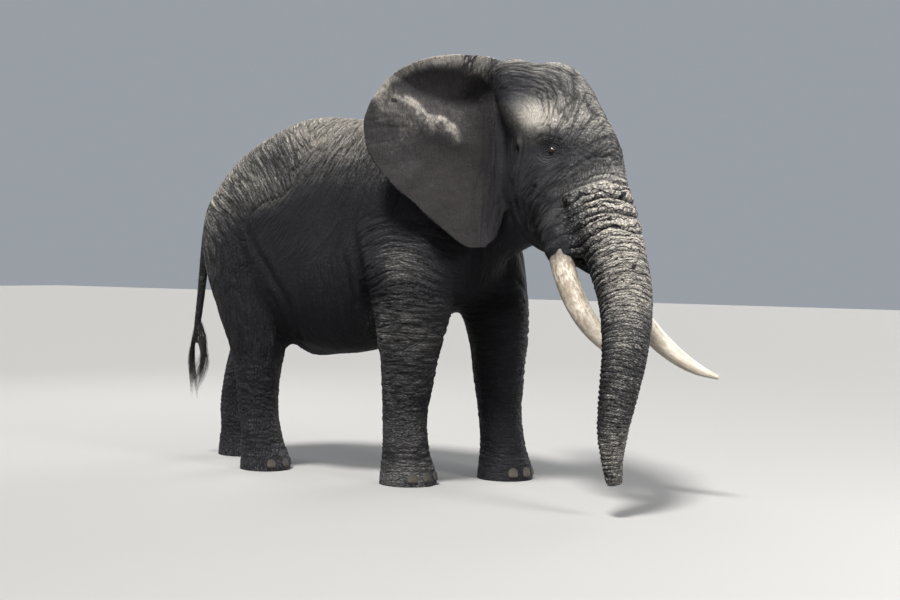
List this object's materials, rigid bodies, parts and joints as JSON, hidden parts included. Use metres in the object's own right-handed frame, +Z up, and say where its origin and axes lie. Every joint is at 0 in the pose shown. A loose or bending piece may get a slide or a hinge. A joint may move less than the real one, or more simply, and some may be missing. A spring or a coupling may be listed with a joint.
{
  "type": "african elephant bull",
  "caption": "Life-size still model of an adult African bush elephant bull, standing mid-stride with spread ears, long curved tusks and the trunk swung to its right, reaching down.",
  "frame": {"origin": "on the floor under the middle of the whole outline (tusk tip to tail, ear to trunk)", "axes": "+X from tail to head along the spine, +Y to the animal's left, +Z up"},
  "size_m": [5.3035, 2.2928, 3.6807],
  "materials": {
    "skin": "matt, dry, deeply wrinkled dark grey skin with pale dust on its upper sides",
    "ivory": "satin ivory with dark soil stains near the root",
    "eye": "wet, dark amber-brown",
    "nail": "dull horn with fine upright ridges",
    "tail_hair": "coarse black wire hair"
  },
  "bodies": {
    "root": {"belly": "skin", "chest": "skin", "ear_left": "skin", "ear_right": "skin", "eye_left": "eye", "eye_right": "eye", "foot_front_left": "skin", "foot_front_right": "skin", "foot_hind_left": "skin", "foot_hind_right": "skin", "head": "skin", "jaw": "skin", "leg_front_left_lower": "skin", "leg_front_left_upper": "skin", "leg_front_right_lower": "skin", "leg_front_right_upper": "skin", "leg_hind_left_lower": "skin", "leg_hind_left_upper": "skin", "leg_hind_right_lower": "skin", "leg_hind_right_upper": "skin", "nail_front_left_1": "nail", "nail_front_left_2": "nail", "nail_front_left_3": "nail", "nail_front_left_4": "nail", "nail_front_right_1": "nail", "nail_front_right_2": "nail", "nail_front_right_3": "nail", "nail_front_right_4": "nail", "nail_hind_left_1": "nail", "nail_hind_left_2": "nail", "nail_hind_left_3": "nail", "nail_hind_right_1": "nail", "nail_hind_right_2": "nail", "nail_hind_right_3": "nail", "neck": "skin", "rump": "skin", "tail": "skin", "tail_tuft": "tail_hair", "trunk_lower": "skin", "trunk_middle": "skin", "trunk_upper": "skin", "tusk_left": "ivory", "tusk_right": "ivory"}
  },
  "joints": []
}
